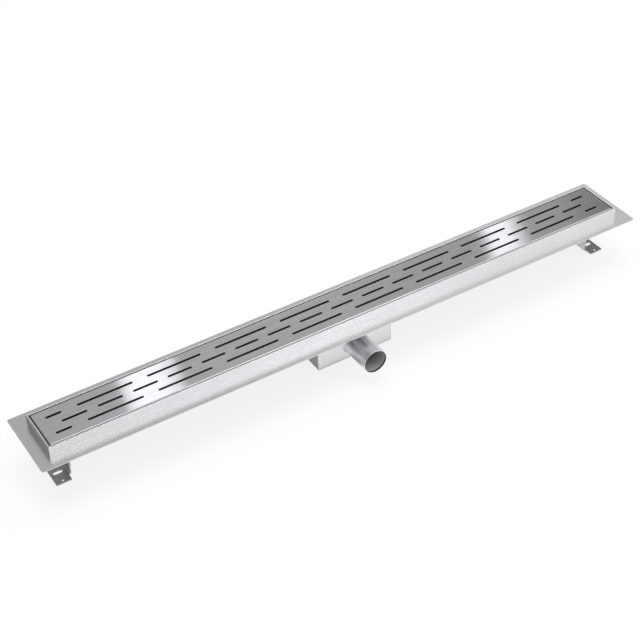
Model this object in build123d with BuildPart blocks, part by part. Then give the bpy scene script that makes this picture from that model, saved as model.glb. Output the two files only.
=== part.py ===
from build123d import *
import os

# Linear shower drain with a slotted grate, a central sump, a side outlet and two
# height-adjustable feet. Sizes in millimetres.
# Frame: the origin is on the floor under the middle of the channel, X runs along
# the channel, the outlet points to -Y and +Z is up.

# Grate: a folded tray, open below
grate_length = 1000.0
grate_width = 71.4
grate_depth = 12.0
grate_sheet = 1.2
grate_bend = 1.5            # outer radius of the folds

# Slots in the grate
slot_width = 3.9
slot_round = 0.4            # punched edge at the top of each slot
slot_long = 87.5
slot_short = 24.5           # the last slot of each outer row
slot_middle = 39.2          # the slots of the middle row
slot_bridge = 24.2          # metal left between two long slots
slot_row_spacing = 18.4
slot_margin = 16.0          # least metal left at the grate's ends

# Channel: flange, hemmed collar and trough
sheet = 1.2
grate_gap = 1.8             # between the grate and the collar
collar_rise = 16.4          # rim above the flange
collar_bend = 3.5
hem_air = 0.6               # between the hem's two layers
hem_flat = 0.1              # left on top of the hem's round
flange_overhang_ends = 21.7 # flange beyond the collar, at the two ends
flange_overhang_sides = 23.0
flange_corner = 4.0
flange_height = 75.0        # top of the flange above the floor
trough_depth = 13.0         # below the top of the flange, at the sump
trough_fall = 4.0           # slope of the trough's floor from each end to the sump
trough_bend = 3.0
well_length = 150.0         # level stretch of the trough's floor over the sump

# Sump box and outlet
sump_length = 133.0
sump_width = 67.4
sump_sheet = 1.5
sump_bend = 2.0
sump_depth = 49.0           # below the trough's floor
outlet_diameter = 40.0
outlet_wall = 1.2
outlet_rim_flat = 0.2       # left on the mouth's rounded rim
outlet_reach = 91.0         # mouth from the middle of the channel
outlet_bead = 1.6           # weld bead at the sump, just under the trough's floor

# Trap, from the trough's floor down to the sump's floor
trap_hole = 60.0
trap_flange = 68.0
trap_flange_thickness = 2.5
trap_spigot_length = 6.0
trap_cone_height = 6.5
trap_wall = 2.0
trap_tube = 34.0
trap_gap = 5.0              # under the dip tube
trap_fit = 0.5              # spigot to hole, basket to spigot
gasket_thickness = 1.5
cup_diameter = 52.0
cup_height = 27.5
cup_rib_count = 3
cup_rib_fit = 0.3

# Hair strainer
strainer_rim = 56.0
strainer_sheet = 0.8
strainer_recess = 1.0       # rim below the top of the trap's flange
strainer_depth = 7.0
strainer_hole = 3.4
strainer_rings = 3
strainer_ring_pitch = 6.5
first_ring_count = 6        # holes in the inner ring
handle_wire = 2.4
handle_rise = 18.0
handle_bend = 5.0

# Bridges and pads that carry the grate
bridge_inset = 80.0         # middle of the outer bridges from the grate's ends
bridge_spans = 3            # equal spaces between the bridges
bridge_length = 20.0
bridge_sheet = 1.5
bridge_leg_clearance = 0.5  # from the bridge's legs to the fold of the trough's floor
bridge_bend = 2.0
pad_length = 14.0
pad_web = 1.5
pad_outer_cheek = 1.0
pad_inner_cheek = 1.5
pad_height = 5.5

# Feet: bent brackets clamped to tabs under the trough
foot_inset = 29.0           # inner face of the upright leg from the grate's end
foot_sheet = 2.0
foot_bend = 2.0
foot_plate_length = 24.0
foot_plate_width = 48.0
foot_leg_width = 25.0
foot_corner = 1.5
foot_slot_length = 15.0
foot_slot_width = 6.5
foot_hole = 4.2
foot_hole_edge = 5.0        # hole centre from the plate's short edges
foot_travel_up = 12.0       # less than the sump's height above the floor
foot_travel_down = 12.0
leg_slot_fit = 0.3
leg_top_margin = 4.0
tab_sheet = 2.0
tab_width = 20.0
tab_weld_length = 14.0
tab_margin = 13.0           # tab below the bolt's axis
bolt_height = 25.0          # axis above the floor
bolt_diameter = 6.0
bolt_head_flats = 10.0
bolt_head_height = 4.0
washer_diameter = 12.0
washer_thickness = 1.6
washer_fit = 0.2
nut_height = 5.0
thread_fit = 0.1
bolt_end = 1.5              # thread beyond the nut
bolt_chamfer = 0.75

# Making: how far a cutting shape runs past a sheet, and how near an edge lies to
# the place that it is picked by
cut_past = 1.0
near = 0.1

# Derived levels and spans
hem = 2 * sheet + hem_air
inside_length = grate_length + 2 * grate_gap
inside_width = grate_width + 2 * grate_gap
flange_length = inside_length + 2 * (hem + flange_overhang_ends)
flange_width = inside_width + 2 * (hem + flange_overhang_sides)
rim_height = flange_height + collar_rise
floor_under = flange_height - trough_depth
floor_top = floor_under + sheet
skirt_bottom = rim_height - grate_depth
bridge_top = skirt_bottom - pad_web
bridge_leg_end = floor_top + trough_fall + trough_bend + bridge_leg_clearance
sump_under = floor_under - sump_depth
sump_floor = sump_under + sump_sheet
sump_front = -sump_width / 2
outlet_outer = outlet_diameter / 2
outlet_inner = outlet_outer - outlet_wall
outlet_height = floor_under - outlet_bead - outlet_outer
trap_flange_under = floor_top + gasket_thickness
trap_flange_top = trap_flange_under + trap_flange_thickness
strainer_ledge = trap_flange_top - strainer_recess - strainer_sheet
strainer_floor = strainer_ledge - strainer_depth
spigot_outer = trap_hole / 2 - trap_fit
spigot_inner = spigot_outer - trap_wall
basket_outer = spigot_inner - trap_fit
spigot_bottom = floor_top - trap_spigot_length
cone_bottom = spigot_bottom - trap_cone_height
tube_outer = trap_tube / 2
tube_inner = tube_outer - trap_wall
cup_floor = sump_floor + trap_wall
tube_bottom = cup_floor + trap_gap
slot_pitch = slot_long + slot_bridge
slot_end = slot_bridge + slot_short
slot_room = grate_length - 2 * slot_margin - 2 * slot_end - slot_long
slot_columns = 1 + int(slot_room // slot_pitch)
slot_end_span = (slot_columns - 1) * slot_pitch + slot_long + slot_bridge + slot_end
bridge_end = grate_length / 2 - bridge_inset
foot_leg_place = grate_length / 2 - foot_inset
leg_slot_half = bolt_diameter / 2 + leg_slot_fit
leg_outer = foot_leg_place + foot_sheet
plate_inner = leg_outer + foot_bend
plate_outer = plate_inner + foot_plate_length
plate_centre = (plate_inner + plate_outer) / 2
leg_top = bolt_height + foot_travel_down + leg_slot_half + leg_top_margin

os.makedirs("parts", exist_ok=True)


def save(piece, name):
    piece.part.label = name
    export_step(piece.part, f"parts/{name}.step")


def floor_under_at(x):
    # underside of the sloping trough floor at a distance x from the middle
    run = inside_length / 2 + sheet - well_length / 2
    return floor_under + trough_fall * max(0.0, abs(x) - well_length / 2) / run


# Channel body

def trough_block(length, width, level, bend):
    # solid with the trough's sloping bottom, from its lowest level up to the flange
    half = length / 2
    flat = well_length / 2
    with BuildPart() as block:
        with BuildSketch(Plane.XZ.offset(-width / 2)):
            with BuildLine():
                Polyline(
                    (-half, flange_height),
                    (-half, level + trough_fall),
                    (-flat, level),
                    (flat, level),
                    (half, level + trough_fall),
                    (half, flange_height),
                    close=True,
                )
            make_face()
        extrude(amount=width)
        fillet(block.edges().filter_by(Axis.Z), radius=bend)
        # the long bottom folds and the folds at the two ends
        lower = block.edges().filter_by(lambda e: e.center().Z < flange_height - bend)
        folds = lower.filter_by(lambda e: abs(abs(e.center().X) - flat) > near)
        fillet(folds.filter_by(lambda e: e.bounding_box().size.Z < trough_fall + near), radius=bend)
    return block.part


trough_outer = trough_block(
    inside_length + 2 * sheet, inside_width + 2 * sheet, floor_under, trough_bend + sheet
)
trough_void = trough_block(inside_length, inside_width, floor_top, trough_bend)

with BuildPart() as channel_body:
    with BuildSketch(Plane.XY.offset(flange_height - sheet)):
        RectangleRounded(flange_length, flange_width, flange_corner)
    extrude(amount=sheet)
    # the hemmed collar and its bend into the flange share one section, carried round
    # the mouth of the trough with mitred corners
    with BuildLine() as mouth:
        Polyline(
            (0, -inside_width / 2),
            (inside_length / 2, -inside_width / 2),
            (inside_length / 2, inside_width / 2),
            (-inside_length / 2, inside_width / 2),
            (-inside_length / 2, -inside_width / 2),
            (0, -inside_width / 2),
        )
    with BuildSketch(Plane.YZ) as section:
        with Locations((-inside_width / 2, flange_height - sheet)):
            Rectangle(hem + 2 * collar_bend, sheet, align=(Align.MAX, Align.MIN))
            Rectangle(hem, sheet + collar_rise, align=(Align.MAX, Align.MIN))
        collar_face = -inside_width / 2 - hem
        face = section.vertices().filter_by_position(Axis.Y, collar_face - near, collar_face + near)
        root = face.filter_by_position(Axis.Z, flange_height - near, flange_height + near)
        fillet(root, radius=collar_bend)
        rim = section.vertices().filter_by_position(Axis.Z, rim_height - near, rim_height + near)
        fillet(rim, radius=(hem - hem_flat) / 2)
    sweep(path=mouth.wire(), transition=Transition.RIGHT)
    add(trough_outer)
    add(trough_void, mode=Mode.SUBTRACT)
    with BuildSketch(Plane.XY.offset(floor_under - cut_past)):
        Circle(trap_hole / 2)
    extrude(amount=sheet + 2 * cut_past, mode=Mode.SUBTRACT)
save(channel_body, "channel_body")


# Sump box: a folded box open at the top, with the outlet hole in its front wall

with BuildPart() as sump_box:
    with BuildSketch(Plane.XY.offset(sump_under)):
        Rectangle(sump_length, sump_width)
    extrude(amount=sump_depth)
    folds = sump_box.edges().filter_by(Axis.Z) + sump_box.faces().sort_by(Axis.Z)[0].edges()
    fillet(folds, radius=sump_bend)
    offset(amount=-sump_sheet, openings=sump_box.faces().sort_by(Axis.Z)[-1])
    with BuildSketch(Plane.XZ.offset(sump_width / 2 + cut_past)):
        with Locations((0, outlet_height)):
            Circle(outlet_inner)
    extrude(amount=-sump_sheet - 2 * cut_past, mode=Mode.SUBTRACT)
save(sump_box, "sump_box")


# Outlet pipe, butted on the sump's front wall with a weld bead round it

with BuildPart() as outlet_pipe:
    with BuildSketch(Plane.YZ):
        with BuildLine():
            Polyline(
                (sump_front, outlet_height + outlet_inner),
                (sump_front, outlet_height + outlet_outer + outlet_bead),
                (sump_front - outlet_bead, outlet_height + outlet_outer),
                (-outlet_reach, outlet_height + outlet_outer),
                (-outlet_reach, outlet_height + outlet_inner),
                close=True,
            )
        make_face()
    revolve(axis=Axis((0, 0, outlet_height), (0, 1, 0)))
    rim = outlet_pipe.edges().filter_by(GeomType.CIRCLE).group_by(Axis.Y)[0]
    fillet(rim, radius=(outlet_wall - outlet_rim_flat) / 2)
save(outlet_pipe, "outlet_pipe")


# Grate: folded tray with three rows of round-ended slots

with BuildPart() as grate:
    with BuildSketch(Plane.XY.offset(skirt_bottom)):
        Rectangle(grate_length, grate_width)
    extrude(amount=grate_depth)
    folds = grate.edges().filter_by(Axis.Z) + grate.faces().sort_by(Axis.Z)[-1].edges()
    fillet(folds, radius=grate_bend)
    offset(amount=-grate_sheet, openings=grate.faces().sort_by(Axis.Z)[0])
    with BuildSketch(Plane.XY.offset(rim_height)):
        with GridLocations(slot_pitch, 2 * slot_row_spacing, slot_columns, 2):
            SlotOverall(slot_long, slot_width)
        # a short slot closes each end of the outer rows
        with GridLocations(slot_end_span, 2 * slot_row_spacing, 2, 2):
            SlotOverall(slot_short, slot_width)
        # the middle row has two slots to each long one, on the bridges and between them
        with GridLocations(slot_pitch / 2, 0, 2 * slot_columns + 1, 1):
            SlotOverall(slot_middle, slot_width)
    extrude(amount=-grate_sheet, mode=Mode.SUBTRACT)
    top = grate.faces().sort_by(Axis.Z)[-1]
    for slot in top.inner_wires():
        fillet(slot.edges(), radius=slot_round)
save(grate, "grate")


# Bridges: inverted channels welded between the trough's side walls

def bridge_at(x):
    half = inside_width / 2
    with BuildPart() as bridge:
        with BuildSketch(Plane.YZ.offset(x)):
            with Locations((0, bridge_leg_end)):
                Rectangle(
                    2 * half,
                    bridge_top - bridge_leg_end,
                    align=(Align.CENTER, Align.MIN),
                )
                Rectangle(
                    2 * (half - bridge_sheet),
                    bridge_top - bridge_sheet - bridge_leg_end,
                    align=(Align.CENTER, Align.MIN),
                    mode=Mode.SUBTRACT,
                )
        extrude(amount=bridge_length / 2, both=True)
        fillet(
            bridge.edges().filter_by(Axis.X).group_by(Axis.Z)[-1],
            radius=bridge_bend,
        )
    return bridge


# Pads: rubber clips pushed over the grate's skirt above each bridge

def pads_at(x):
    outer = grate_width / 2
    inner = outer - grate_sheet
    with BuildPart() as pads:
        with BuildSketch(Plane.YZ.offset(x)) as clip:
            with BuildLine():
                Polyline(
                    (outer + pad_outer_cheek, bridge_top),
                    (outer + pad_outer_cheek, bridge_top + pad_height),
                    (outer, bridge_top + pad_height),
                    (outer, skirt_bottom),
                    (inner, skirt_bottom),
                    (inner, bridge_top + pad_height),
                    (inner - pad_inner_cheek, bridge_top + pad_height),
                    (inner - pad_inner_cheek, bridge_top),
                    close=True,
                )
            make_face()
            mirror(about=Plane.YZ)
        extrude(amount=pad_length / 2, both=True)
    return pads


for number in range(1, bridge_spans + 2):
    place = bridge_end * (2 * (number - 1) / bridge_spans - 1)
    save(bridge_at(place), f"bridge_{number}")
    save(pads_at(place), f"grate_pads_{number}")


# Trap body: flange, spigot, cone and dip tube turned in one piece

with BuildPart() as trap_body:
    with BuildSketch(Plane.XZ):
        with BuildLine():
            Polyline(
                (strainer_rim / 2 + trap_fit, trap_flange_top),
                (trap_flange / 2, trap_flange_top),
                (trap_flange / 2, trap_flange_under),
                (spigot_outer, trap_flange_under),
                (spigot_outer, spigot_bottom),
                (tube_outer, cone_bottom),
                (tube_outer, tube_bottom),
                (tube_inner, tube_bottom),
                (tube_inner, cone_bottom),
                (spigot_inner, spigot_bottom),
                (spigot_inner, strainer_ledge),
                (strainer_rim / 2 + trap_fit, strainer_ledge),
                close=True,
            )
        make_face()
    revolve(axis=Axis.Z)
save(trap_body, "trap_body")


# Trap gasket: flat rubber ring between the trap's flange and the trough's floor

with BuildPart() as trap_gasket:
    with BuildSketch(Plane.XY.offset(floor_top)):
        Circle(trap_flange / 2)
        Circle(trap_hole / 2, mode=Mode.SUBTRACT)
    extrude(amount=gasket_thickness)
save(trap_gasket, "trap_gasket")


# Trap cup: stands on the sump's floor round the dip tube, with guiding ribs inside

with BuildPart() as trap_cup:
    with BuildSketch(Plane.XY.offset(sump_floor)):
        Circle(cup_diameter / 2)
    extrude(amount=cup_height)
    fillet(trap_cup.edges().group_by(Axis.Z)[0], radius=trap_wall)
    with BuildSketch(Plane.XY.offset(cup_floor)):
        Circle(cup_diameter / 2 - trap_wall)
    extrude(amount=cup_height, mode=Mode.SUBTRACT)
    rib_inner = tube_outer + cup_rib_fit
    rib_outer = cup_diameter / 2 - trap_wall / 2
    with BuildSketch(Plane.XY.offset(cup_floor)):
        with PolarLocations((rib_inner + rib_outer) / 2, cup_rib_count, start_angle=90):
            Rectangle(rib_outer - rib_inner, trap_wall)
    extrude(amount=cup_height - 2 * trap_wall)
save(trap_cup, "trap_cup")


# Hair strainer: pressed basket with a rim, perforated in rings

with BuildPart() as hair_strainer:
    with BuildSketch(Plane.XZ):
        with BuildLine():
            Polyline(
                (0, strainer_floor),
                (basket_outer, strainer_floor),
                (basket_outer, strainer_ledge),
                (strainer_rim / 2, strainer_ledge),
                (strainer_rim / 2, strainer_ledge + strainer_sheet),
                (basket_outer - strainer_sheet, strainer_ledge + strainer_sheet),
                (basket_outer - strainer_sheet, strainer_floor + strainer_sheet),
                (0, strainer_floor + strainer_sheet),
                close=True,
            )
        make_face()
    revolve(axis=Axis.Z)
    with BuildSketch(Plane.XY.offset(strainer_floor)):
        Circle(strainer_hole / 2)
        for ring in range(1, strainer_rings + 1):
            holes = first_ring_count * ring
            with PolarLocations(ring * strainer_ring_pitch, holes, start_angle=180 / holes):
                Circle(strainer_hole / 2)
    extrude(amount=strainer_sheet, mode=Mode.SUBTRACT)
save(hair_strainer, "hair_strainer")


# Strainer handle: bent wire standing on the basket's floor

with BuildPart() as strainer_handle:
    foot_x = strainer_rings * strainer_ring_pitch
    foot_z = strainer_floor + strainer_sheet
    with BuildLine(Plane.XZ) as wire:
        FilletPolyline(
            (-foot_x, foot_z),
            (-foot_x, foot_z + handle_rise),
            (foot_x, foot_z + handle_rise),
            (foot_x, foot_z),
            radius=handle_bend,
        )
    with BuildSketch(Plane.XY.offset(foot_z)):
        with Locations((-foot_x, 0)):
            Circle(handle_wire / 2)
    sweep(path=wire.wire())
save(strainer_handle, "strainer_handle")


# Feet, drawn for the side given by its sign along X

def foot_bracket(side):
    with BuildPart() as foot:
        # the upright leg and its fold into the plate
        with BuildSketch(Plane.XZ):
            with BuildLine():
                Polyline(
                    (side * foot_leg_place, 0),
                    (side * plate_outer, 0),
                    (side * plate_outer, foot_sheet),
                    (side * leg_outer, foot_sheet),
                    (side * leg_outer, leg_top),
                    (side * foot_leg_place, leg_top),
                    close=True,
                )
            make_face()
        extrude(amount=foot_leg_width / 2, both=True)
        low = foot.edges().filter_by(Axis.Y).filter_by(lambda e: e.center().Z < foot_sheet + near)
        heel = low.filter_by(lambda e: abs(abs(e.center().X) - leg_outer) < near)
        fillet(heel, radius=foot_bend)
        low = foot.edges().filter_by(Axis.Y).filter_by(lambda e: e.center().Z < near)
        heel = low.filter_by(lambda e: abs(abs(e.center().X) - foot_leg_place) < near)
        fillet(heel, radius=foot_bend + foot_sheet)
        # the plate is wider than the leg and starts at the fold's line
        with BuildSketch():
            with Locations((side * plate_centre, 0)):
                Rectangle(foot_plate_length, foot_plate_width)
        extrude(amount=foot_sheet)
        uprights = foot.edges().filter_by(Axis.Z)
        ends = uprights.filter_by(lambda e: abs(e.center().Y) > foot_plate_width / 2 - near)
        fillet(ends, radius=foot_corner)
        # fixing slot and two nail holes in the plate
        with BuildSketch():
            with Locations((side * plate_centre, 0)):
                SlotOverall(foot_slot_length, foot_slot_width)
            with Locations((side * plate_centre, 0)):
                with GridLocations(0, foot_plate_width - 2 * foot_hole_edge, 1, 2):
                    Circle(foot_hole / 2)
        extrude(amount=foot_sheet, mode=Mode.SUBTRACT)
        # rounded top and the adjusting slot of the leg
        tips = foot.edges().filter_by(Axis.X).group_by(Axis.Z)[-1]
        fillet(tips, radius=foot_corner)
        with BuildSketch(Plane.YZ.offset(side * foot_leg_place)):
            with Locations((0, bolt_height + (foot_travel_down - foot_travel_up) / 2)):
                SlotCenterToCenter(foot_travel_up + foot_travel_down, 2 * leg_slot_half, rotation=90)
        extrude(amount=side * foot_sheet, mode=Mode.SUBTRACT)
    return foot


def foot_tab(side):
    # bent strip: welded under the trough's floor, upright part inside the foot's leg
    tab_face = foot_leg_place
    tab_bend = tab_sheet + foot_bend
    weld_end = tab_face - tab_bend - tab_weld_length
    weld_top = floor_under_at(weld_end)
    fold_under = weld_top - tab_sheet
    with BuildPart() as tab:
        with BuildSketch(Plane.XZ):
            with BuildLine():
                Polyline(
                    (side * tab_face, bolt_height - tab_margin),
                    (side * tab_face, weld_top),
                    (side * weld_end, weld_top),
                    (side * weld_end, fold_under),
                    (side * (tab_face - tab_sheet), fold_under),
                    (side * (tab_face - tab_sheet), bolt_height - tab_margin),
                    close=True,
                )
            make_face()
        extrude(amount=tab_width / 2, both=True)
        level = tab.edges().filter_by(Axis.Y).filter_by(lambda e: e.center().Z > weld_top - near)
        fold = level.filter_by(lambda e: abs(abs(e.center().X) - tab_face) < near)
        fillet(fold, radius=tab_bend)
        level = tab.edges().filter_by(Axis.Y).filter_by(lambda e: abs(e.center().Z - fold_under) < near)
        fold = level.filter_by(lambda e: abs(abs(e.center().X) - tab_face + tab_sheet) < near)
        fillet(fold, radius=foot_bend)
        tips = tab.edges().filter_by(Axis.X).group_by(Axis.Z)[0]
        fillet(tips, radius=foot_corner)
        with BuildSketch(Plane.YZ.offset(side * tab_face)):
            with Locations((0, bolt_height)):
                Circle(leg_slot_half)
        extrude(amount=-side * tab_sheet, mode=Mode.SUBTRACT)
    return tab


def clamp_plane(side, distance):
    # plane across the clamping bolt, with its normal pointing away from the middle
    return Plane(origin=(side * distance, 0, bolt_height), x_dir=(0, 1, 0), z_dir=(side, 0, 0))


def foot_bolt(side):
    seat = leg_outer + washer_thickness
    shank = seat - (foot_leg_place - tab_sheet - nut_height - bolt_end)
    with BuildPart() as bolt:
        with BuildSketch(clamp_plane(side, seat)):
            RegularPolygon(bolt_head_flats / 2, 6, major_radius=False)
        extrude(amount=bolt_head_height)
        with BuildSketch(clamp_plane(side, seat)):
            Circle(bolt_diameter / 2)
        extrude(amount=-shank)
        tip = bolt.edges().filter_by(GeomType.CIRCLE).sort_by(lambda e: abs(e.center().X))[0]
        chamfer(tip, length=bolt_chamfer)
    return bolt


def foot_washer(side):
    with BuildPart() as washer:
        with BuildSketch(clamp_plane(side, leg_outer)):
            Circle(washer_diameter / 2)
            Circle(bolt_diameter / 2 + washer_fit, mode=Mode.SUBTRACT)
        extrude(amount=washer_thickness)
    return washer


def foot_nut(side):
    with BuildPart() as nut:
        with BuildSketch(clamp_plane(side, foot_leg_place - tab_sheet)):
            RegularPolygon(bolt_head_flats / 2, 6, major_radius=False)
            Circle(bolt_diameter / 2 + thread_fit, mode=Mode.SUBTRACT)
        extrude(amount=-nut_height)
    return nut


for name, side in (("left", -1), ("right", 1)):
    save(foot_bracket(side), f"foot_{name}")
    save(foot_tab(side), f"foot_tab_{name}")
    save(foot_bolt(side), f"foot_bolt_{name}")
    save(foot_washer(side), f"foot_washer_{name}")
    save(foot_nut(side), f"foot_nut_{name}")
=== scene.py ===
import bpy
import math
from mathutils import Matrix, Vector


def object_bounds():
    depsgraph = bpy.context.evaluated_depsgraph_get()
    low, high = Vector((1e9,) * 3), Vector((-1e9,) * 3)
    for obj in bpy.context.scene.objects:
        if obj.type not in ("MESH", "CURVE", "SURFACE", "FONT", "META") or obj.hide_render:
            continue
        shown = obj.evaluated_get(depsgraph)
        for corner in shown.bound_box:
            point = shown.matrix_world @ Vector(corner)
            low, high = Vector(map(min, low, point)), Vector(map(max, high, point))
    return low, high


# Linear shower drain: materials for the solids, a white stage, studio light and the
# photograph's camera. Lengths are in metres. X runs along the channel, the outlet points
# to -Y and +Z is up. All shapes come from the frame.

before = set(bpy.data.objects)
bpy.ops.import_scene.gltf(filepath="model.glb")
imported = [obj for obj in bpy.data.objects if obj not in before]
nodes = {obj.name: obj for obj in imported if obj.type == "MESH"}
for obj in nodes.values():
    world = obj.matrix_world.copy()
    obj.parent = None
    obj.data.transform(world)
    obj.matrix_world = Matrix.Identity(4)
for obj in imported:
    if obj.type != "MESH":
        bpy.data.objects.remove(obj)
cad_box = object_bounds()
scene = bpy.context.scene
scene.view_settings.view_transform = "Standard"

ALONG_X = (1.0, 0.0, 0.0)
ALONG_Y = (0.0, 1.0, 0.0)

# Camera, at the photograph's place
CAMERA_PLACE = Vector((-0.9262, -1.5303, 1.5110))
CAMERA_RIGHT = Vector((0.84972, -0.52598, -0.03646))
CAMERA_UP = Vector((0.35558, 0.52062, 0.77622))
CAMERA_LENS = 84.23             # millimetres, as the sensor's width
SENSOR_WIDTH = 36.0
FARTHEST_SEEN = 50.0

# Places on the part. A box holds half its length, half its width and its top.
TROUGH_BOX = (0.5021, 0.0378, 0.0895)
SLOT_LIP_BOX = (0.498, 0.034, 0.09139)
SLOT_WALL_BOX = (0.498, 0.034, 0.0911)
TRAY_BOX = (0.51, 0.04, 0.0898)
FACING_FORWARD = -0.1           # Y of a normal, below which the face looks forward
HEM_HEIGHTS = (0.0870, 0.0885)  # from the foot of the rim's fold to where it is full
HEM_ROUND = 0.0014              # what the fold adds to the radius of its edges
PIPE_END = cad_box[0][1]        # the outlet's open end is the foremost thing
PIPE_AXIS = (0.0, 0.0, 0.0404)
BORE_RADII = (0.0190, 0.0193)   # between the inner wall and the rim

# Grey levels of the dull sides, painted as shade: in the trough, in the grate's slots and
# under the flange on the pipe
TROUGH_PAINTED_SHADE = 0.15
SLOT_PAINTED_SHADE = 0.035
PIPE_PAINTED_SHADOW = 0.13

# Steel sheet
CLOUD_GRAIN = (9.0, 14.0, 14.0)  # dull patches per metre
BROAD_MARKS = 7.0               # how much coarser the broad brush marks are
FINE_SHARE = 0.6                # of the marks; the broad ones have the rest
MARK_DEPTH = 0.00004
OFF_NORMAL = (0.004, 0.009, 0.013)  # keeps the tangent off zero on faces across the marks

# Moulded plastic and rubber
MOULDED_EDGE = 0.0004
MOULDED_CLOUD_GRAIN = (60.0, 60.0, 60.0)
MOULDED_DEPTH = 0.0001

# Floor
FLOOR_HALF = 8.0
FLOOR_GREY = 0.9
FLOOR_GLOW = 0.83               # share of plain white that the camera sees

# World, by direction: the sky behind changes by a step over each span of X (from, to, step)
BEHIND_STEPS = ((0.39, 0.47, -0.085), (0.53, 0.575, -0.22), (0.58, 0.64, 0.8))
LOW_BEHIND = 1.15               # what it reaches just above the floor, on the right

# Lamps: each strip is a wide lamp and a narrow one just behind it, which adds its core
STRIPS = (
    # name, X, distance behind and above, width, level
    ("left", 0.145, 1.2, 0.162, 0.61),
    ("left_core", 0.146, 1.22, 0.104, 0.20),
    ("right", 1.275, 1.2, 0.143, 0.38),
    ("right_core", 1.284, 1.22, 0.088, 0.44),
)
STRIP_LENGTH = 1.1
STRIP_AIM = 0.09                # height that the strips face, just under the grate's top


def make_camera():
    data = bpy.data.cameras.new("camera")
    data.lens = CAMERA_LENS
    data.sensor_width = SENSOR_WIDTH
    data.clip_end = FARTHEST_SEEN
    camera = bpy.data.objects.new("camera", data)
    scene.collection.objects.link(camera)
    back = CAMERA_RIGHT.cross(CAMERA_UP)
    turn = Matrix((CAMERA_RIGHT, CAMERA_UP, back)).transposed().to_4x4()
    camera.matrix_world = Matrix.Translation(CAMERA_PLACE) @ turn
    scene.camera = camera


# Node helpers

class Shader:
    # one node tree of a material or a world, built from small steps
    def __init__(self, owner, output="ShaderNodeOutputMaterial"):
        owner.use_nodes = True
        self.owner = owner
        self.tree = owner.node_tree
        self.tree.nodes.clear()
        self.output = self.add(output)

    def add(self, kind, **settings):
        node = self.tree.nodes.new(kind)
        for key, value in settings.items():
            setattr(node, key, value)
        return node

    def put(self, node, socket, value):
        if isinstance(value, bpy.types.NodeSocket):
            self.tree.links.new(value, node.inputs[socket])
        else:
            node.inputs[socket].default_value = value

    def math(self, operation, a, b=0.0):
        node = self.add("ShaderNodeMath", operation=operation)
        self.put(node, 0, a)
        self.put(node, 1, b)
        return node.outputs[0]

    def vector(self, operation, a, b=(0.0, 0.0, 0.0)):
        node = self.add("ShaderNodeVectorMath", operation=operation)
        self.put(node, 0, a)
        self.put(node, 1, b)
        single = operation in ("DOT_PRODUCT", "LENGTH")
        return node.outputs["Value" if single else "Vector"]

    def coordinates(self, kind):
        return self.add("ShaderNodeTexCoord").outputs[kind]

    def axes(self, value):
        node = self.add("ShaderNodeSeparateXYZ")
        self.put(node, 0, value)
        return node.outputs

    def spread(self, value, low, high, to_low, to_high):
        # to_low up to low, to_high from high on, and a smooth change between
        node = self.add("ShaderNodeMapRange", interpolation_type="SMOOTHSTEP")
        for socket, v in enumerate((value, low, high, to_low, to_high)):
            self.put(node, socket, v)
        return node.outputs[0]

    def noise(self, place, stretch, detail=2.0, rough=0.5):
        # noise whose grain has the given number of features per metre along X, Y and Z
        node = self.add("ShaderNodeTexNoise")
        self.put(node, "Vector", self.vector("MULTIPLY", place, stretch))
        self.put(node, "Scale", 1.0)
        self.put(node, "Detail", detail)
        self.put(node, "Roughness", rough)
        return node.outputs["Fac"]

    def mix(self, share, a, b):
        node = self.add("ShaderNodeMix", data_type="RGBA")
        self.put(node, 0, share)
        self.put(node, 6, a)
        self.put(node, 7, b)
        return node.outputs[2]

    def rounded(self, radius, samples):
        node = self.add("ShaderNodeBevel", samples=samples)
        self.put(node, "Radius", radius)
        return node.outputs[0]

    def relief(self, strength, depth, height, normal):
        node = self.add("ShaderNodeBump")
        self.put(node, "Strength", strength)
        self.put(node, "Distance", depth)
        self.put(node, "Height", height)
        self.put(node, "Normal", normal)
        return node.outputs[0]

    def blend(self, share, a, b):
        node = self.add("ShaderNodeMixShader")
        self.put(node, 0, share)
        self.put(node, 1, a)
        self.put(node, 2, b)
        return node.outputs[0]

    def finish(self, surface):
        self.put(self.output, "Surface", surface)
        return self.owner


def grey(level, warm=0.0):
    return (level * (1 + warm), level, level * (1 - warm), 1.0)


def within(s, place, box):
    # 1 inside the box, else 0
    x, y, z = s.axes(place)
    inside = s.math("LESS_THAN", s.math("ABSOLUTE", x), box[0])
    inside = s.math("MULTIPLY", inside, s.math("LESS_THAN", s.math("ABSOLUTE", y), box[1]))
    return s.math("MULTIPLY", inside, s.math("LESS_THAN", z, box[2]))


# The dull sides: painted shade on faces that lie in shadow, made duller too, and the pipe's
# darker inner wall; each gives its share and its grey level

def painted_shade_in_trough(s, place, normal):
    # painted shade: the trough's inside, under the grate, is painted dark grey and made
    # duller
    return within(s, place, TROUGH_BOX), TROUGH_PAINTED_SHADE


def painted_shade_under_grate(s, place, normal):
    # painted shade: the grate's underside, the cut walls of its slots and the lips that
    # face forward are painted near black
    forward = s.math("LESS_THAN", s.axes(normal)[1], FACING_FORWARD)
    lip = s.math("MULTIPLY", within(s, place, SLOT_LIP_BOX), forward)
    walls = s.math("MAXIMUM", within(s, place, SLOT_WALL_BOX), within(s, place, TRAY_BOX))
    return s.math("MAXIMUM", lip, walls), SLOT_PAINTED_SHADE


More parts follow.
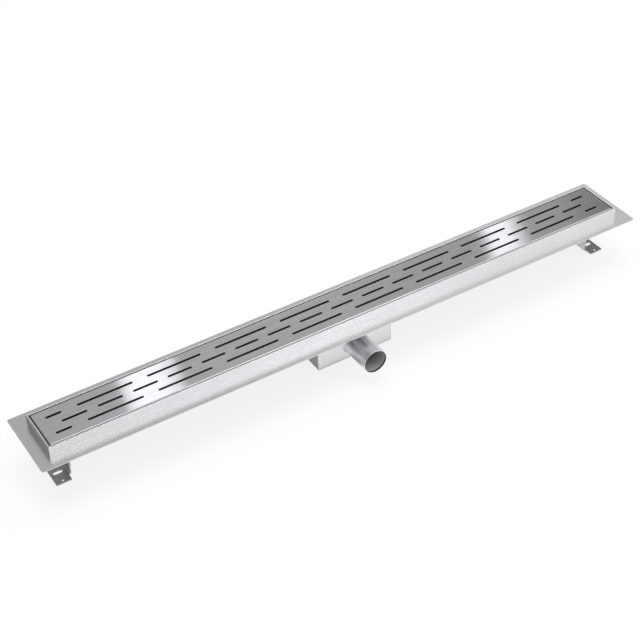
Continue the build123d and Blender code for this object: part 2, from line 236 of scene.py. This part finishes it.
def pipe_bore_and_flange_shadow(s, place, normal):
    # the outlet's inner wall, darkest just inside its end, and a painted shadow of the
    # flange on its top near the base, which fades to the right
    x, y, z = s.axes(place)
    flat = s.vector("MULTIPLY", s.vector("SUBTRACT", place, PIPE_AXIS), (1.0, 0.0, 1.0))
    bore = s.spread(s.vector("LENGTH", flat), *BORE_RADII, 1.0, 0.0)
    level = s.spread(y, PIPE_END + 0.0020, PIPE_END + 0.0035, 0.04, 0.55)
    # painted shadow: the flange's shadow on the pipe's top near its base, as a darker grey
    tint = s.spread(y, -0.080, -0.062, 0.0, 0.42)
    tint = s.math("MULTIPLY", tint, s.spread(z, 0.040, 0.056, 0.0, 1.0))
    tint = s.math("MULTIPLY", tint, s.spread(x, 0.0, 0.012, 1.0, 0.1))
    outside = s.math("MULTIPLY", s.math("SUBTRACT", 1.0, bore), PIPE_PAINTED_SHADOW)
    level = s.math("ADD", s.math("MULTIPLY", bore, level), outside)
    return s.math("MAXIMUM", bore, tint), level


def painted_shade_on_foot_plate(s, place, normal):
    # painted shade: the foot's flat plate, under the flange, is painted darker and duller
    # than its upright leg, and the right foot's darker still
    share = s.spread(s.axes(normal)[2], 0.5, 0.8, 0.0, 0.78)
    return share, s.spread(s.axes(place)[0], -0.3, 0.3, 0.27, 0.068)


def steel(name, colour, rough, grain, brushed, edge=0.0003, along=ALONG_X, tint=-0.025,
          streak=0.10, bump=0.25, metal=1.0, dull_side_and_painted_shade=None, hem=False):
    # stainless sheet: grain is the number of brush marks per metre along X, Y and Z, and
    # dull_side_and_painted_shade is one of the functions above, which says where shade is
    # painted on;
    # with hem, the folded rim at the top is fully rounded
    s = Shader(bpy.data.materials.new(name))
    place = s.coordinates("Object")
    normal = s.add("ShaderNodeNewGeometry").outputs["Normal"]
    fine = s.noise(place, grain, detail=3.0, rough=0.6)
    broad = s.noise(place, tuple(g / BROAD_MARKS for g in grain), detail=2.0)
    cloud = s.noise(place, CLOUD_GRAIN, detail=4.0, rough=0.6)
    marks = s.math("ADD", s.math("MULTIPLY", fine, FINE_SHARE),
                   s.math("MULTIPLY", broad, 1 - FINE_SHARE))

    # rounded edges, and a lighter, smoother line along them: partly wear from handling,
    # partly a painted highlight
    radius = edge
    if hem:
        rim = s.spread(s.axes(place)[2], *HEM_HEIGHTS, 0.0, 1.0)
        radius = s.math("ADD", s.math("MULTIPLY", rim, HEM_ROUND), edge)
    round_edge = s.rounded(radius, samples=6)
    turned = s.vector("DOT_PRODUCT", round_edge, normal)
    edge_wear_and_highlight = s.math("MULTIPLY", s.spread(turned, 0.995, 0.90, 0.0, 1.0),
                  s.spread(cloud, 0.35, 0.6, 0.35, 1.0))

    dark_mark = grey(colour * (1 - streak), tint)
    light_mark = grey(colour * (1 + streak), tint)
    sheet = s.mix(s.spread(marks, 0.3, 0.7, 0.0, 1.0), dark_mark, light_mark)
    sheet = s.mix(s.spread(cloud, 0.3, 0.7, 0.0, 0.12), sheet, grey(colour * 0.8, tint))
    base = s.mix(s.math("MULTIPLY", edge_wear_and_highlight, 0.5), sheet, grey(min(0.95, colour * 1.3), tint))
    dull = s.math("ADD", s.math("MULTIPLY", marks, 0.10), s.math("MULTIPLY", cloud, 0.06))
    dull = s.math("ADD", dull, rough - 0.08)
    dull = s.math("SUBTRACT", dull, s.math("MULTIPLY", edge_wear_and_highlight, 0.06))
    # painted shade: where the function says, the colour goes to a darker grey and the steel
    # gets duller and less metallic
    if dull_side_and_painted_shade:
        share, level = dull_side_and_painted_shade(s, place, normal)
        level = s.math("MULTIPLY", level, s.spread(cloud, 0.2, 0.8, 0.8, 1.2))
        base = s.mix(share, base, s.mix(level, grey(0.0), grey(1.0, tint)))
        dull = s.math("MAXIMUM", dull, s.math("MULTIPLY", share, 0.5))
        metal = s.math("SUBTRACT", metal, s.math("MULTIPLY", share, 0.6))

    across = s.vector("ADD", s.vector("CROSS_PRODUCT", normal, along), OFF_NORMAL)
    shader = s.add("ShaderNodeBsdfPrincipled")
    s.put(shader, "Base Color", base)
    s.put(shader, "Metallic", metal)
    s.put(shader, "Roughness", dull)
    s.put(shader, "Anisotropic", brushed)
    s.put(shader, "Tangent", across)
    s.put(shader, "Normal", s.relief(bump, MARK_DEPTH, marks, round_edge))
    return s.finish(shader.outputs[0])


def moulded(name, colour, rough, sheen, grain):
    # moulded plastic or rubber with a fine grain, dull patches and scuffed edges
    s = Shader(bpy.data.materials.new(name))
    place = s.coordinates("Object")
    normal = s.add("ShaderNodeNewGeometry").outputs["Normal"]
    fine = s.noise(place, (grain, grain, grain), detail=3.0, rough=0.6)
    cloud = s.noise(place, MOULDED_CLOUD_GRAIN, detail=4.0, rough=0.6)
    round_edge = s.rounded(MOULDED_EDGE, samples=4)
    turned = s.vector("DOT_PRODUCT", round_edge, normal)
    scuffed = s.math("MULTIPLY", s.spread(turned, 0.99, 0.85, 0.0, 1.0),
                     s.spread(cloud, 0.35, 0.65, 0.1, 0.8))
    patches = s.spread(cloud, 0.3, 0.7, 0.0, 1.0)
    base = s.mix(patches, grey(colour * 0.88), grey(colour * 1.12))
    base = s.mix(s.math("MULTIPLY", scuffed, 0.5), base, grey(min(0.9, colour * 1.9)))
    dull = s.math("ADD", s.math("MULTIPLY", fine, 0.15), rough - 0.07)
    shader = s.add("ShaderNodeBsdfPrincipled")
    s.put(shader, "Base Color", base)
    s.put(shader, "Roughness", dull)
    s.put(shader, "Sheen Weight", sheen)
    s.put(shader, "Normal", s.relief(0.35, MOULDED_DEPTH, fine, round_edge))
    return s.finish(shader.outputs[0])


MARKS_ALONG_X = (60.0, 1500.0, 1500.0)
MARKS_ALONG_PIPE = (330.0, 24.0, 330.0)

STEELS = {
    "grate_steel": dict(colour=0.63, rough=0.12, grain=MARKS_ALONG_X, brushed=1.0,
                        edge=0.0005, dull_side_and_painted_shade=painted_shade_under_grate),
    "channel_steel": dict(colour=0.74, rough=0.28, grain=MARKS_ALONG_X, brushed=0.3,
                          edge=0.0004, tint=-0.01, streak=0.02, bump=0.1,
                          dull_side_and_painted_shade=painted_shade_in_trough, hem=True),
    "sump_steel": dict(colour=0.80, rough=0.30, grain=MARKS_ALONG_X, brushed=0.3,
                       tint=-0.01, streak=0.03, bump=0.1),
    "pipe_steel": dict(colour=0.84, rough=0.30, grain=MARKS_ALONG_PIPE, brushed=0.5,
                       along=ALONG_Y, streak=0.28, metal=0.85, dull_side_and_painted_shade=pipe_bore_and_flange_shadow),
    "foot_steel": dict(colour=0.80, rough=0.26, grain=(160.0, 500.0, 160.0), brushed=0.3,
                       streak=0.08, dull_side_and_painted_shade=painted_shade_on_foot_plate),
    "fastener_steel": dict(colour=0.62, rough=0.22, grain=(700.0, 700.0, 700.0),
                           brushed=0.0, streak=0.06),
    "strainer_steel": dict(colour=0.70, rough=0.20, grain=(300.0, 300.0, 300.0),
                           brushed=0.0, streak=0.05),
}
MOULDED = {
    "trap_plastic": dict(colour=0.045, rough=0.42, sheen=0.05, grain=900.0),
    "seal_rubber": dict(colour=0.025, rough=0.65, sheen=0.15, grain=1400.0),
}


def make_materials():
    looks = {name: steel(name, **look) for name, look in STEELS.items()}
    looks.update({name: moulded(name, **look) for name, look in MOULDED.items()})
    for node in nodes.values():
        for slot in node.material_slots:
            slot.material = looks[slot.material.name.split(".")[0]]


# Stage: a white floor that keeps the soft shadow, and the world round it

def make_floor():
    mesh = bpy.data.meshes.new("floor")
    h = FLOOR_HALF
    mesh.from_pydata([(-h, -h, 0), (h, -h, 0), (h, h, 0), (-h, h, 0)], [], [(0, 1, 2, 3)])
    floor = bpy.data.objects.new("floor", mesh)
    scene.collection.objects.link(floor)
    s = Shader(bpy.data.materials.new("floor_white"))
    path = s.add("ShaderNodeLightPath")
    x, y, _ = s.axes(s.coordinates("Object"))
    matt = s.add("ShaderNodeBsdfDiffuse")
    s.put(matt, "Color", grey(FLOOR_GREY))
    glow = s.add("ShaderNodeEmission")
    s.put(glow, "Color", grey(1.0))
    s.put(glow, "Strength", 1.0)
    # painted reflection: the steel mirrors a floor that glows, in glossy rays only, light
    # in front of the channel and half light by the right foot; under and behind it, it
    # mirrors the shaded matt floor
    under = s.spread(x, 0.25, 0.40, 0.07, 0.44)
    painted_reflection_glow = s.spread(y, -0.056, -0.044, 0.85, under)
    painted_reflection_glow = s.math("MULTIPLY", path.outputs["Is Glossy Ray"], painted_reflection_glow)
    seen = s.math("MULTIPLY", path.outputs["Is Camera Ray"], FLOOR_GLOW)
    share = s.math("ADD", seen, painted_reflection_glow)
    mesh.materials.append(s.finish(s.blend(share, matt.outputs[0], glow.outputs[0])))
    return floor


def make_world():
    # white to the camera; to everything else a studio that is brighter to the right, higher
    # up brighter in front than behind, and bright behind just above the floor
    world = bpy.data.worlds.new("studio")
    scene.world = world
    s = Shader(world, "ShaderNodeOutputWorld")
    x, y, z = s.axes(s.coordinates("Generated"))

    behind = s.spread(x, -0.4, 0.34, 0.22, 0.57)
    for start, end, change in BEHIND_STEPS:
        behind = s.math("ADD", behind, s.spread(x, start, end, 0.0, change))
    low = s.math("MULTIPLY", s.spread(z, 0.08, 0.34, 1.0, 0.0),
                 s.spread(x, -0.4, 0.2, 0.4, 1.0))
    lift = s.math("MULTIPLY", low, s.math("SUBTRACT", LOW_BEHIND, behind))
    behind = s.math("ADD", behind, lift)

    before = s.spread(x, 0.05, 0.40, 0.50, 1.40)
    before = s.math("ADD", before, s.spread(x, 0.40, 0.50, 0.0, 0.20))
    before = s.math("SUBTRACT", before, s.spread(x, 0.48, 0.7, 0.0, 0.2))
    before = s.math("MULTIPLY", before, s.spread(z, 0.25, 0.52, 0.42, 1.0))

    depth = s.spread(y, -0.35, 0.35, 0.0, 1.0)
    level = s.math("MULTIPLY", s.math("SUBTRACT", 1.0, depth), before)
    level = s.math("ADD", s.math("MULTIPLY", depth, behind), level)
    studio = s.add("ShaderNodeBackground")
    s.put(studio, "Color", grey(1.0))
    s.put(studio, "Strength", level)
    white = s.add("ShaderNodeBackground")
    s.put(white, "Color", grey(1.0))
    seen = s.add("ShaderNodeLightPath").outputs["Is Camera Ray"]
    s.finish(s.blend(seen, studio.outputs[0], white.outputs[0]))


# Lamps: each lights only its own group of objects

def add_lamp(data, lit, place, aim):
    lamp = bpy.data.objects.new(data.name, data)
    scene.collection.objects.link(lamp)
    lamp.location = place
    lamp.rotation_euler = (Vector(aim) - Vector(place)).to_track_quat("-Z", "Y").to_euler()
    lamp.visible_camera = False
    group = bpy.data.collections.new("lit_by_" + data.name)
    for thing in lit:
        group.objects.link(thing)
    lamp.light_linking.receiver_collection = group


def softbox(name, lit, place, aim, width, height, level, shape="RECTANGLE"):
    data = bpy.data.lights.new(name, "AREA")
    data.shape = shape
    data.size = width
    data.size_y = height
    data.energy = level * width * height * math.pi
    add_lamp(data, lit, place, aim)


def skylight(name, lit, place, strength, spread):
    data = bpy.data.lights.new(name, "SUN")
    data.angle = spread
    data.energy = strength
    add_lamp(data, lit, place, (0.0, 0.0, 0.0))


def make_lamps(floor):
    for name, x, away, width, level in STRIPS:
        softbox("strip_" + name, [nodes["grate"]], (x, away, away), (x, 0.0, STRIP_AIM),
                width, STRIP_LENGTH, level, "ELLIPSE")
    # in front of the part, so that its flat top doesn't mirror it straight up
    softbox("overhead", list(nodes.values()), (0.2, -1.3, 2.5), (0.2, -0.1, 0.0),
            width=2.6, height=1.0, level=2.2)
    # behind and to the right, aimed at the flange's right part
    softbox("flange_fill", [nodes["channel_body"]], (1.15, 1.15, 1.15), (0.38, 0.0, 0.075),
            width=0.8, height=0.8, level=0.26)
    skylight("floor_light", [floor], (0.05, 0.13, 1.0), strength=1.61, spread=0.8)


make_camera()
make_materials()
floor = make_floor()
make_world()
make_lamps(floor)
